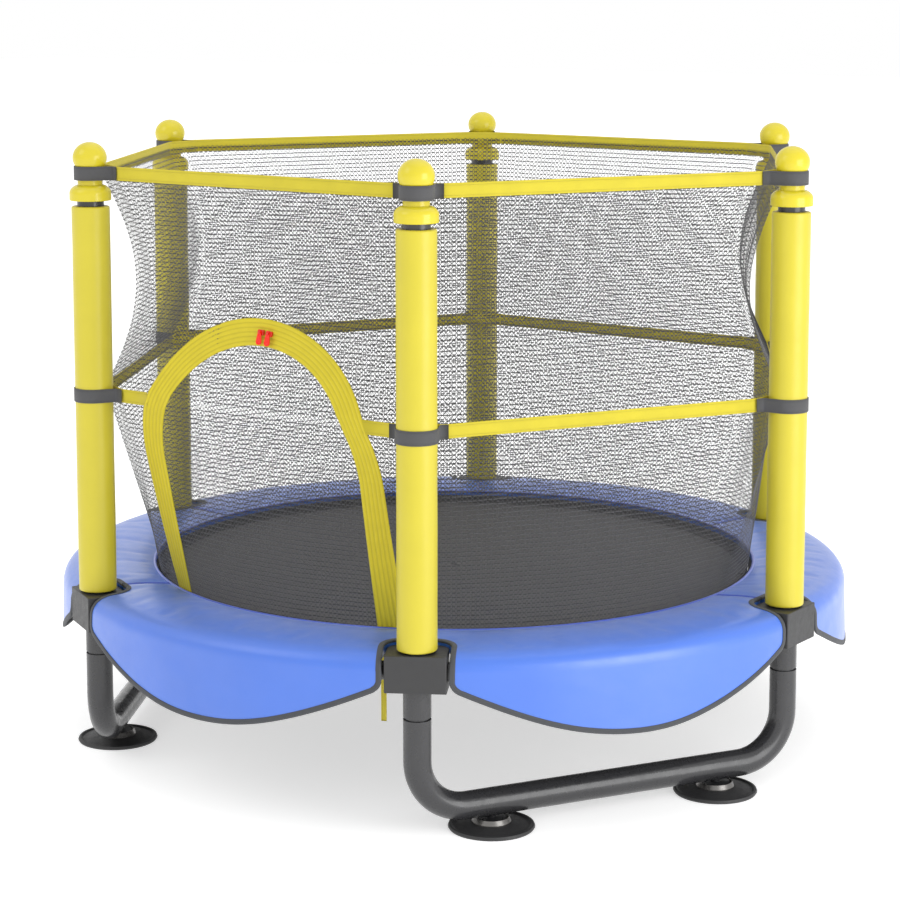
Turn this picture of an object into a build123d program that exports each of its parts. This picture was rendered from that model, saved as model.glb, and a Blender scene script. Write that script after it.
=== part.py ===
from build123d import *
import math
import os

# A children's round trampoline with a netted enclosure, in millimetres, +Z up.
# The origin is on the floor under the middle of the mat. The net's door faces -Y.
# Poles are numbered from the one right of the door, and go round anticlockwise.
# Each piece is made in a local frame: +X points outward from the middle, through a pole or
# the middle of a side, and +Y goes round anticlockwise.

SIDES = 6
SIDE_DEG = 360 / SIDES
FIRST_POLE_DEG = -60
DOOR_SIDE = 6
POLE_CIRCLE_R = 722.5

# Heights above the floor
LEG_BAR_Z = 45.6
LEG_TOP_Z = 209
SOCKET_Z = (213, 268)
BLOCK_Z = (262, 325)
RING_Z = 291
MAT_Z = 304
FOAM_Z = (328, 1034.5)
MID_STRAP_Z = (679.5, 704.5)
TOP_STRAP_Z = (1081.5, 1106.5)
CAP_BASE_Z = 1044.7
TOTAL_HEIGHT = 1149.5

# Steel tubes
TUBE_R = 24
TUBE_WALL = 1.5
POLE_Z = (270, 1060)
RING_TUBE_R = 16
LEG_BEND_R = 90
SPIGOT_R = 20.7
FIT_GAP = 0.3

# Corner block
BLOCK_OUT = 35
BLOCK_IN = 43
BLOCK_HALF_WIDTH = 52.5
BLOCK_CORNER_R = 24
BLOCK_EDGE_R = 2.5
BLOCK_TOP_R = 1.5
RING_TUBE_END = 27

# Feet
FOOT_FROM_POLE = 139
FOOT_R = 75
HUB_Z = (10.5, 19.5)
STUD_R = 5

# Foam sleeve, cap and net clips on each pole
FOAM_R = 34.5
CAP_FLANGE_R = 37.5
CAP_NECK_R = 22.5
CAP_BALL_R = 30.7
CAP_BALL_HALF_HEIGHT = 28.5
CLIP_THICK = 1.5
CORNER_IN = 37
CORNER_HALF_WIDTH = 45

# Enclosure net and its straps
STRAP_THICK = 1.2
NET_THICK = 1.2
NET_INSET = 1.6
NET_BOTTOM_Z = 308
NET_BOTTOM_R = 574
NECK_SIDE_IN = 58
NECK_DOOR_IN = 30
NECK_CORNER_IN = 49

# Door: an arch of zipper tape, wider than the flap that it closes
ARCH_Z = 586
ARCH_R = 244
ARCH_FOOT_R = 236
TAPE_WIDTH = 48
TAPE_THICK = 1.2
SLIDER_LEAN_DEG = 11.3
SLIDER_BACK_Y = -591.2
SLIDER_MEET_DEG = 3.4
SLIDER_APART_DEG = 2.15
SLIDER_BODY = (13, 10, 5)
SLIDER_PIN_R = 1.4
TAB_HALF_WIDTHS = (3.5, 6)
TAB_LENGTH = 16
TAB_EYE_R = 4.2
TAIL_DEG = -67.4
TAIL_WIDTH = 10
TAIL_Z = (156, 300)

# Safety pad and the binding along its edge
PAD_R = 762
PAD_INNER_R = 581
SKIRT_THICK = 2.5
SKIRT_SHOULDER_Z = 300
SKIRT_HIGH_Z = 270
SKIRT_DROP = 93
SCALLOP_HALF_DEG = 26
NOTCH_HALF_WIDTH = 58
NOTCH_IN = 46
NOTCH_CORNER_R = 35
BINDING_WIDTH = 8
BINDING_THICK = 0.8
SEAM_GAP = 0.4

# Mat and what holds it
MAT_R = 569
MAT_THICK = 2
HEM_WIDTH = 15
HEM_THICK = 4
LOOPS = 36
LOOP_OFFSET_DEG = 5
LOOP_CORD = 5
LOOP_HOLE_R = 2.4
RING_WIRE_R = 1.5
RING_BEND_R = 5
RING_BASE_R = 571.5
RING_BASE_HALF = 12.7
RING_APEX_R = 593.5


def pole_deg(number):
    return FIRST_POLE_DEG + SIDE_DEG * (number - 1)


def side_deg(number):
    return pole_deg(number) + SIDE_DEG / 2


def at_pole(number, shape):
    """Moves a shape made around a pole's own axis to that pole."""
    return Rot(Z=pole_deg(number)) * Pos(POLE_CIRCLE_R, 0, 0) * shape


def at_side(number, shape):
    return Rot(Z=side_deg(number)) * shape


def write(node, *shapes):
    """Writes one node's solids to its own STEP file."""
    solids = [solid for shape in shapes for solid in shape.solids()]
    whole = solids[0] if len(solids) == 1 else Compound(children=solids)
    whole.label = node
    export_step(whole, f"parts/{node}.step")


def disc(radius, low, high):
    return Pos(0, 0, low) * extrude(Circle(radius), high - low)


def tube(outer, inner, low, high):
    return disc(outer, low, high) - disc(inner, low - 1, high + 1)


def turned(points):
    """A solid of revolution about Z from its (radius, height) outline."""
    outline = Plane.XZ * make_face(Polyline(*points, close=True))
    return revolve(outline, Axis.Z)


# ---------------------------------------------------------------- frame


def ring_tube(number):
    """One of the six curved tubes between two corner blocks."""
    gap = math.degrees(RING_TUBE_END / POLE_CIRCLE_R)
    section = Circle(RING_TUBE_R) - Circle(RING_TUBE_R - TUBE_WALL)
    start = Plane.XZ * Pos(POLE_CIRCLE_R, RING_Z) * section
    sweep_deg = SIDE_DEG - 2 * gap
    return Rot(Z=pole_deg(number) + gap) * revolve(start, Axis.Z, revolution_arc=sweep_deg)


def corner_block():
    """A T-connector: the pole stands in its top, and a ring tube enters each end."""
    depth = BLOCK_OUT + BLOCK_IN
    height = BLOCK_Z[1] - BLOCK_Z[0]
    body = Pos((BLOCK_OUT - BLOCK_IN) / 2, 0, sum(BLOCK_Z) / 2) * Box(depth, 2 * BLOCK_HALF_WIDTH, height)
    inner_corners = body.edges().filter_by(Axis.Z).group_by(Axis.X)[0]
    body = fillet(inner_corners, BLOCK_CORNER_R)
    body = fillet(body.edges().filter_by(Axis.Z).group_by(Axis.X)[-1], BLOCK_EDGE_R)
    body = fillet(body.faces().sort_by(Axis.Z)[-1].edges(), BLOCK_TOP_R)
    body -= disc(TUBE_R + FIT_GAP, BLOCK_Z[0] - 1, BLOCK_Z[1] + 1)
    return body - Pos(-POLE_CIRCLE_R, 0, RING_Z) * Torus(POLE_CIRCLE_R, RING_TUBE_R + FIT_GAP)


def u_leg():
    """A leg bent from one tube, from pole to pole, made with +X along its bar."""
    span = POLE_CIRCLE_R
    corners = [(0, 0, LEG_TOP_Z), (0, 0, LEG_BAR_Z), (span, 0, LEG_BAR_Z), (span, 0, LEG_TOP_Z)]
    path = FilletPolyline(*corners, radius=LEG_BEND_R)
    start = Plane(origin=corners[0], z_dir=(0, 0, -1))
    leg = sweep(start * Circle(TUBE_R), path) - sweep(start * Circle(TUBE_R - TUBE_WALL), path)
    for x in (0, span):
        leg += Pos(x, 0, 0) * tube(SPIGOT_R, SPIGOT_R - TUBE_WALL, LEG_TOP_Z - 6, SOCKET_Z[1] - 20)
        leg += Pos(x, 0, 0) * tube(TUBE_R - TUBE_WALL / 2, SPIGOT_R - TUBE_WALL, LEG_TOP_Z - 6, LEG_TOP_Z - 3)
    for x in (FOOT_FROM_POLE, span - FOOT_FROM_POLE):
        leg -= Pos(x, 0, 0) * disc(STUD_R + FIT_GAP, 0, LEG_BAR_Z)
    return leg


def leg_place(first_pole):
    """The location of a leg whose bar starts under first_pole."""
    return Rot(Z=pole_deg(first_pole)) * Pos(POLE_CIRCLE_R, 0, 0) * Rot(Z=120)


def suction_foot():
    """A wide rubber disc with a raised rim, a groove inside it and a hollow underside."""
    top = [(FOOT_R - 2, 0), (FOOT_R, 3), (FOOT_R - 1.5, 6.5), (FOOT_R - 5, 7.2), (FOOT_R - 9, 5)]
    cone = [(FOOT_R - 12, 5.2), (50, 8.2), (36, HUB_Z[0]), (STUD_R + FIT_GAP, HUB_Z[0])]
    underside = [(STUD_R + FIT_GAP, 5), (45, 4), (FOOT_R - 13, 0)]
    return turned(top + cone + underside)


def foot_hub():
    """The metal collar between the rubber foot and the leg."""
    low, high = HUB_Z
    outside = [(STUD_R + FIT_GAP, low), (34, low), (34, low + 1.5), (30, high), (27.5, high)]
    return turned(outside + [(27, high - 3), (STUD_R + FIT_GAP, high - 3)])


def foot_stud():
    """The threaded stud that holds a foot: a dark disc in the hub, and a pin up into the bar."""
    bottom, low, under_bar = HUB_Z[0] - 3, HUB_Z[1] - 3 + FIT_GAP, LEG_BAR_Z - TUBE_R - 0.6
    disc_points = [(0, bottom), (STUD_R, bottom), (STUD_R, low), (26.5, low), (26, low + 2), (9, low + 2.6)]
    pin_points = [(7.5, under_bar), (STUD_R, under_bar), (STUD_R, LEG_BAR_Z - 8), (0, LEG_BAR_Z - 8)]
    return turned(disc_points + pin_points)


# ---------------------------------------------------------------- poles


def foam_sleeve():
    sleeve = tube(FOAM_R, TUBE_R + FIT_GAP, *FOAM_Z)
    rims = sleeve.edges().filter_by(GeomType.CIRCLE).filter_by(lambda e: e.radius > FOAM_R - 1)
    return fillet(rims, 2)


def pole_cap():
    """A round finial: a wide flange, a neck for the net's clip, and a slightly flattened ball."""
    bore_r, bore_end = TUBE_R + FIT_GAP, POLE_Z[1] + 2
    ball_z = TOTAL_HEIGHT - CAP_BALL_HALF_HEIGHT
    neck_top = ball_z - CAP_BALL_HALF_HEIGHT * math.sqrt(1 - (CAP_NECK_R / CAP_BALL_R) ** 2)
    with BuildPart() as cap:
        with BuildSketch(Plane.XZ):
            with BuildLine():
                Polyline((0, bore_end), (bore_r, bore_end), (bore_r, CAP_BASE_Z))
                Line((bore_r, CAP_BASE_Z), (CAP_FLANGE_R - 1, CAP_BASE_Z))
                Line((CAP_FLANGE_R - 1, CAP_BASE_Z), (CAP_FLANGE_R, CAP_BASE_Z + 1))
                Line((CAP_FLANGE_R, CAP_BASE_Z + 1), (CAP_FLANGE_R, CAP_BASE_Z + 12))
                Spline(
                    (CAP_FLANGE_R, CAP_BASE_Z + 12),
                    (CAP_NECK_R + 9, CAP_BASE_Z + 24),
                    (CAP_NECK_R, CAP_BASE_Z + 28),
                    tangents=[(0, 1), (-1, 0.1)],
                )
                Line((CAP_NECK_R, CAP_BASE_Z + 28), (CAP_NECK_R, neck_top))
                Spline(*ball_outline(ball_z, neck_top))
                Line((0, TOTAL_HEIGHT), (0, bore_end))
            make_face()
        revolve(axis=Axis.Z)
    return cap.part


def ball_outline(ball_z, neck_top):
    """Points on the ball's ellipse, from the neck up to its top."""
    start = math.atan2((neck_top - ball_z) / CAP_BALL_HALF_HEIGHT, CAP_NECK_R / CAP_BALL_R)
    turns = [start + (math.pi / 2 - start) * step / 12 for step in range(13)]
    points = [(CAP_BALL_R * math.cos(turn), ball_z + CAP_BALL_HALF_HEIGHT * math.sin(turn)) for turn in turns]
    return points[:-1] + [(0, TOTAL_HEIGHT)]


def clip(loop_r, low, high):
    """A webbing loop: round the pole's outer side, straight back, then out along the net's corner."""
    back = CORNER_IN - CLIP_THICK - 1
    wing = loop_r + 14
    half = Polyline((-back - 1, wing), (-back + 4, loop_r), (0, loop_r))
    other = Polyline((0, -loop_r), (-back + 4, -loop_r), (-back - 1, -wing))
    front = RadiusArc((0, loop_r), (0, -loop_r), loop_r)
    if front.bounding_box().max.X < 1:
        front = RadiusArc((0, loop_r), (0, -loop_r), -loop_r)
    band = trace([half, front, other], CLIP_THICK)
    return Pos(0, 0, low) * extrude(band, high - low)


# ---------------------------------------------------------------- net, straps and door


def corner_deg():
    """The angle from a side's middle to where its strap turns behind a pole."""
    return SIDE_DEG / 2 - math.degrees(math.atan2(CORNER_HALF_WIDTH, POLE_CIRCLE_R - CORNER_IN))


def hexagon_radius(from_side_deg, side_in, corner_in):
    """The strap's plan, a hexagon with its corners cut off behind the poles, made smaller."""
    turn, half = math.radians(abs(from_side_deg)), math.radians(SIDE_DEG / 2)
    corner = POLE_CIRCLE_R - CORNER_IN
    apothem = corner * math.cos(half) + CORNER_HALF_WIDTH * math.sin(half)
    return min((apothem - side_in) / math.cos(turn), (corner - corner_in) / math.cos(half - turn))


def net_radius(from_side_deg, z, inset, neck_in):
    """The net is drawn in to a neck between the straps, and tapers to a circle at the pad."""
    if z > MID_STRAP_Z[1]:
        way = min(1, (z - MID_STRAP_Z[1]) / (TOP_STRAP_Z[0] - MID_STRAP_Z[1]))
        pull = math.sin(math.pi * way)
        return hexagon_radius(from_side_deg, inset + neck_in * pull, inset + NECK_CORNER_IN * pull)
    pull = max(0, (MID_STRAP_Z[0] - z) / (MID_STRAP_Z[0] - NET_BOTTOM_Z))
    return (1 - pull) * hexagon_radius(from_side_deg, inset, inset) + pull * (NET_BOTTOM_R - inset)


def sheet_grid(heights, inset, neck_in):
    corner = corner_deg()
    end = SIDE_DEG / 2 - 0.02
    turns = [-end, -corner, -22, -15, -7.5, 0, 7.5, 15, 22, corner, end]
    rows = []
    for z in heights:
        radii = [(net_radius(turn, z, inset, neck_in), math.radians(turn)) for turn in turns]
        rows.append([(r * math.cos(a), r * math.sin(a), z) for r, a in radii])
    return rows


def quad(a, b, c, d):
    """Two triangles that fill a four-cornered patch."""
    return [Face(Wire.make_polygon([a, b, c])), Face(Wire.make_polygon([a, c, d]))]


def sheet_solid(heights, inset, thick, neck_in=NECK_SIDE_IN):
    """A thin closed wall, one side of the enclosure wide, between two copies of the net's surface."""
    outer = sheet_grid(heights, inset, neck_in)
    inner = sheet_grid(heights, inset + thick, neck_in)
    rows, columns = len(outer), len(outer[0])
    faces = []
    for r in range(rows - 1):
        for c in range(columns - 1):
            faces += quad(outer[r][c], outer[r][c + 1], outer[r + 1][c + 1], outer[r + 1][c])
            faces += quad(inner[r][c], inner[r][c + 1], inner[r + 1][c + 1], inner[r + 1][c])
        for c in (0, columns - 1):
            faces += quad(outer[r][c], outer[r + 1][c], inner[r + 1][c], inner[r][c])
    for r in (0, rows - 1):
        for c in range(columns - 1):
            faces += quad(outer[r][c], outer[r][c + 1], inner[r][c + 1], inner[r][c])
    solid = Solid(Shell(faces))
    return solid if solid.volume > 0 else Solid(solid.wrapped.Reversed())


UPPER_ROWS = [692.3, 704.5, 720, 740, 762, 788, 815, 842, 868, 893, 950, 1010, 1050, 1081.5, 1106.5]
LOWER_ROWS = [308, 430, 560, 679.5, 691.9]


def arch_region(grow):
    """The door's outline, grown outward, as a prism through the -Y side of the enclosure."""
    half_top, half_foot = ARCH_R + grow, ARCH_FOOT_R + grow
    foot_z = NET_BOTTOM_Z - 20
    right = [(half_foot, foot_z), (half_top, ARCH_Z)]
    left = [(-x, z) for x, z in reversed(right)]
    legs = make_face(Polyline(*right, *left, close=True))
    shape = legs + Pos(0, ARCH_Z) * Circle(half_top)
    return extrude(Plane(origin=(0, -450, 0), x_dir=(1, 0, 0), z_dir=(0, -1, 0)) * shape, 300)


def strap(z, inset):
    """A closed loop of webbing round the whole enclosure."""
    turns = [sign * corner_deg() + side_deg(n) for n in range(1, SIDES + 1) for sign in (-1, 1)]
    outline = []
    for hole in (inset, inset + STRAP_THICK):
        radius = hexagon_radius(corner_deg(), hole, hole)
        ring = [(radius * math.cos(math.radians(t)), radius * math.sin(math.radians(t))) for t in turns]
        outline.append(make_face(Polyline(*ring, close=True)))
    return Pos(0, 0, z[0]) * extrude(outline[0] - outline[1], z[1] - z[0])


def slider_place(meet_deg):
    """The frame of a slider: +X along the zipper, +Y up the arch's radius, +Z out of the door."""
    across, up = math.sin(math.radians(SLIDER_LEAN_DEG)), math.cos(math.radians(SLIDER_LEAN_DEG))
    centre = (0, SLIDER_BACK_Y - ARCH_R * across, ARCH_Z + ARCH_R * (1 - up))
    arch = Plane(origin=centre, x_dir=(1, 0, 0), z_dir=(0, -up, across))
    return Location(arch) * Rot(Z=-meet_deg) * Pos(0, ARCH_R, 0)


def zipper_slider():
    """The slider's body with a pin that its pull tab swings on."""
    body = Box(*SLIDER_BODY, align=(Align.CENTER, Align.CENTER, Align.MIN))
    body = fillet(body.edges().filter_by(Axis.Z), 2.5)
    body = chamfer(body.faces().sort_by(Axis.Z)[-1].edges(), 0.8)
    return body + disc(SLIDER_PIN_R, 4.5, 9) + disc(2.6, 7.6, 9)


def pull_tab():
    """A flat tab that hangs from the slider's pin, with an eye at its top."""
    top, end = TAB_HALF_WIDTHS
    tab = make_face(Polyline((-top, 0), (top, 0), (end, -TAB_LENGTH), (-end, -TAB_LENGTH), close=True))
    tab += Circle(TAB_EYE_R)
    tab += Pos(0, -TAB_LENGTH) * Circle(end)
    tab -= Circle(SLIDER_PIN_R + 0.35)
    return Pos(0, 0, 5.4) * extrude(tab, 1.8)


# ---------------------------------------------------------------- pad


def pad_outline(grow):
    """The pad's upper and outer surface in section, from its inner edge over to the skirt's foot."""
    foot_z = SKIRT_HIGH_Z - SKIRT_DROP - 10
    return [
        (PAD_INNER_R, 324 + grow),
        (PAD_INNER_R + 20, 327.5 + grow),
        (650, 332 + grow),
        (700, 331.5 + grow),
        (728, 328.5 + grow),
        (745 + grow * 0.5, 321 + grow * 0.8),
        (754 + grow, 310 + grow * 0.3),
        (757 + grow, SKIRT_SHOULDER_Z),
        (PAD_R - 1 + grow, foot_z),
    ]


def pad_section():
    under = [
        (PAD_R - 1 - SKIRT_THICK, SKIRT_HIGH_Z - SKIRT_DROP - 10),
        (757 - SKIRT_THICK, SKIRT_SHOULDER_Z),
        (748, 309),
        (740, 313.5),
        (PAD_INNER_R, 314),
    ]
    return pad_outline(0) + under


def side_turn(points, half_deg):
    """A body turned from a section over one side of the hexagon, about its middle."""
    outline = Plane.XZ * make_face(Polyline(*points, close=True))
    return Rot(Z=-half_deg) * revolve(outline, Axis.Z, revolution_arc=2 * half_deg)


def skirt_below(shift):
    """Everything lower than the skirt's scalloped edge, moved up by shift."""
    steps = 24
    edge = []
    for step in range(steps + 1):
        part = 2 * step / steps - 1
        turn = math.radians(part * SCALLOP_HALF_DEG)
        drop = SKIRT_DROP * math.cos(part * math.pi / 2)
        edge.append((PAD_R * math.sin(turn), SKIRT_HIGH_Z - drop + shift))
    end = PAD_R * 0.55
    low = [(end, SKIRT_HIGH_Z + shift), (end, 0), (-end, 0), (-end, SKIRT_HIGH_Z + shift)]
    profile = make_face([Spline(*edge), Polyline(edge[-1], *low, edge[0])])
    return extrude(Plane(origin=(600, 0, 0), x_dir=(0, 1, 0), z_dir=(1, 0, 0)) * profile, 250)


def notch(grow):
    """The round-ended slot that clears a pole and its corner block, in the pole's own frame."""
    half, back = NOTCH_HALF_WIDTH + grow, NOTCH_IN + grow
    slot = Pos((60 - back) / 2, 0) * Rectangle(60 + back, 2 * half)
    inner = slot.vertices().group_by(Axis.X)[0]
    return Pos(0, 0, 100) * extrude(fillet(inner, NOTCH_CORNER_R), 300)


def notches(grow):
    """The notches at both ends of a side, in that side's frame."""
    half = SIDE_DEG / 2
    return [Rot(Z=turn) * Pos(POLE_CIRCLE_R, 0, 0) * notch(grow) for turn in (-half, half)]


def pad_side():
    half_deg = SIDE_DEG / 2 - math.degrees(SEAM_GAP / 2 / PAD_INNER_R)
    pad = side_turn(pad_section(), half_deg) - skirt_below(0)
    for slot in notches(0):
        pad -= slot
    return pad


def binding_side():
    """The tape along the scalloped edge and up round both notches, lying on the cover."""
    gap = 0.15
    outside = pad_outline(gap + BINDING_THICK)
    inside = pad_outline(gap)
    skin = side_turn(outside[2:] + inside[:1:-1], SIDE_DEG / 2 - 0.05)
    kept = skin & skirt_below(BINDING_WIDTH)
    for slot in notches(BINDING_WIDTH):
        kept += skin & slot
    kept -= skirt_below(0)
    for slot in notches(0):
        kept -= slot
    return kept


# ---------------------------------------------------------------- mat


def jumping_mat():
    """The woven mat with a thicker hem sewn round its edge."""
    mat = disc(MAT_R, MAT_Z - MAT_THICK / 2, MAT_Z + MAT_THICK / 2)
    return mat + tube(MAT_R, MAT_R - HEM_WIDTH, MAT_Z - HEM_THICK / 2, MAT_Z + HEM_THICK / 2)


def mat_ring():
    """A three-cornered wire ring, lying flat outside the mat's edge."""
    base = [(RING_BASE_R, -RING_BASE_HALF, MAT_Z), (RING_BASE_R, RING_BASE_HALF, MAT_Z)]
    corners = [*base, (RING_APEX_R, 0, MAT_Z)]
    path = FilletPolyline(*corners, radius=RING_BEND_R, close=True)
    start = path.edges()[0]
    section = Plane(origin=start @ 0, z_dir=start % 0) * Circle(RING_WIRE_R)
    return sweep(section, path)


def elastic_loop():
    """A loop of elastic from a mat ring round the frame's ring tube."""
    hull = []
    for grow in (LOOP_CORD, 0):
        round_tube = Pos(POLE_CIRCLE_R, RING_Z) * Circle(RING_TUBE_R + FIT_GAP + grow)
        in_ring = Pos(RING_APEX_R - RING_BEND_R - 0.4, MAT_Z) * Circle(LOOP_HOLE_R + grow)
        hull.append(make_hull([*round_tube.edges(), *in_ring.edges()]))
    band = hull[0] - hull[1]
    return Pos(0, LOOP_CORD / 2, 0) * extrude(Plane.XZ * band, LOOP_CORD)


def loop_degs():
    return [LOOP_OFFSET_DEG + FIRST_POLE_DEG + 360 / LOOPS * n for n in range(LOOPS)]


# ---------------------------------------------------------------- the assembly


def write_frame():
    block, foot, leg = corner_block(), suction_foot(), u_leg()
    socket = tube(TUBE_R, SPIGOT_R + FIT_GAP, *SOCKET_Z)
    for n in range(1, SIDES + 1):
        write(f"ring_tube_{n}", ring_tube(n))
        write(f"corner_block_{n}", at_pole(n, block))
    feet = []
    for n, first in enumerate((1, 3, 5), start=1):
        write(f"u_leg_{n}", leg_place(first) * leg)
        feet += [leg_place(first) * Pos(x, 0, 0) for x in (FOOT_FROM_POLE, POLE_CIRCLE_R - FOOT_FROM_POLE)]
    for n, place in enumerate(feet, start=1):
        write(f"suction_foot_{n}", place * foot)
    hub, stud = foot_hub(), foot_stud()
    write("foot_hubs", *[place * hub for place in feet])
    write("foot_studs", *[place * stud for place in feet])
    write("leg_sockets", *[at_pole(n, socket) for n in range(1, SIDES + 1)])


def write_poles():
    pole, foam, cap = tube(TUBE_R, TUBE_R - TUBE_WALL, *POLE_Z), foam_sleeve(), pole_cap()
    top, mid = clip(28.2, *TOP_STRAP_Z), clip(FOAM_R + 1.2, *MID_STRAP_Z)
    numbers = range(1, SIDES + 1)
    for n in numbers:
        write(f"pole_{n}", at_pole(n, pole))
        write(f"foam_sleeve_{n}", at_pole(n, foam))
        write(f"pole_cap_{n}", at_pole(n, cap))
    write("top_clips", *[at_pole(n, top) for n in numbers])
    write("mid_clips", *[at_pole(n, mid) for n in numbers])


def write_net():
    upper, lower = (sheet_solid(rows, NET_INSET, NET_THICK) for rows in (UPPER_ROWS, LOWER_ROWS))
    above_door = at_side(DOOR_SIDE, sheet_solid(UPPER_ROWS, NET_INSET, NET_THICK, NECK_DOOR_IN))
    beside_door = at_side(DOOR_SIDE, lower)
    hole, flap = arch_region(0.5), arch_region(-0.5)
    plain_sides = range(1, SIDES)
    write("upper_net", above_door - hole, *[at_side(n, upper) for n in plain_sides])
    write("lower_net", beside_door - hole, *[at_side(n, lower) for n in plain_sides])
    write("door_net", above_door & flap, beside_door & flap)
    write("top_strap", strap(TOP_STRAP_Z, 0))
    write("mid_strap", strap(MID_STRAP_Z, 0) - arch_region(TAPE_WIDTH / 2 + 0.3))
    band = arch_region(TAPE_WIDTH / 2) - arch_region(-TAPE_WIDTH / 2)
    on_net = NET_INSET - TAPE_THICK - 0.2
    tape_rows = (UPPER_ROWS[:-2], LOWER_ROWS)
    tapes = [sheet_solid(rows, on_net, TAPE_THICK, NECK_DOOR_IN) for rows in tape_rows]
    write("door_zipper", *[at_side(DOOR_SIDE, tape) & band for tape in tapes])


def write_zipper_pulls():
    for side, sign in (("left", -1), ("right", 1)):
        place = slider_place(SLIDER_MEET_DEG + sign * SLIDER_APART_DEG)
        write(f"zipper_slider_{side}", place * zipper_slider())
        hang = place * Rot(Z=SLIDER_MEET_DEG + sign * SLIDER_APART_DEG)
        write(f"pull_tab_{side}", hang * pull_tab())
    tail = Box(TAPE_THICK, TAIL_WIDTH, TAIL_Z[1] - TAIL_Z[0])
    write("zipper_tail", Rot(Z=TAIL_DEG) * Pos(NET_BOTTOM_R, 0, sum(TAIL_Z) / 2) * tail)


def write_pad():
    pad, binding = pad_side(), binding_side()
    numbers = range(1, SIDES + 1)
    write("safety_pad", *[at_side(n, pad) for n in numbers])
    write("skirt_binding", *[at_side(n, binding) for n in numbers])


def write_mat():
    ring, loop = mat_ring(), elastic_loop()
    write("jumping_mat", jumping_mat())
    write("mat_rings", *[Rot(Z=turn) * ring for turn in loop_degs()])
    write("elastic_loops", *[Rot(Z=turn) * loop for turn in loop_degs()])


def main():
    os.makedirs("parts", exist_ok=True)
    write_frame()
    write_poles()
    write_net()
    write_zipper_pulls()
    write_pad()
    write_mat()


main()
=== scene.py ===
import math

import bmesh
import bpy
import numpy as np
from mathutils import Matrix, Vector, noise


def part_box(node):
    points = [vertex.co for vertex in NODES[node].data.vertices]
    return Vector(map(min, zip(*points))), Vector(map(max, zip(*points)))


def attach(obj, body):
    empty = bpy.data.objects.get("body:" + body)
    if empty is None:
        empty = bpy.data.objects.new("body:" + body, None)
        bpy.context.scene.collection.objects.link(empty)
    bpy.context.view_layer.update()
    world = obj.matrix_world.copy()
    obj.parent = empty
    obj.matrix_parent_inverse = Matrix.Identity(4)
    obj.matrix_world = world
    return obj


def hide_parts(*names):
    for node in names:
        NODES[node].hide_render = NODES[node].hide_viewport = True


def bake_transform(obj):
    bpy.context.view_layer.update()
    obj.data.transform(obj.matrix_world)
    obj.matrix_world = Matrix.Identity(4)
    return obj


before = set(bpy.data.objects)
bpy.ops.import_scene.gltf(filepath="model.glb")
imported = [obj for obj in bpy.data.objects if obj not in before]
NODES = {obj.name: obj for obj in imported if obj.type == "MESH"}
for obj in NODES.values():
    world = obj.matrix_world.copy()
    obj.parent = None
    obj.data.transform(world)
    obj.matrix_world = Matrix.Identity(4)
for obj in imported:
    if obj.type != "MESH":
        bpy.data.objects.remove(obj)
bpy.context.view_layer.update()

POLE_CIRCLE = 0.7225
POLE_DEGS = [-60 + 60 * n for n in range(6)]
SIDE_DEGS = [-30 + 60 * n for n in range(6)]
DOOR = 5
rad = math.radians


# ------------------------------------------------------------------ materials


def srgb(r, g, b):
    parts = [((v / 255 + 0.055) / 1.055) ** 2.4 if v > 10 else v / 255 / 12.92 for v in (r, g, b)]
    return (*parts, 1)


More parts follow.
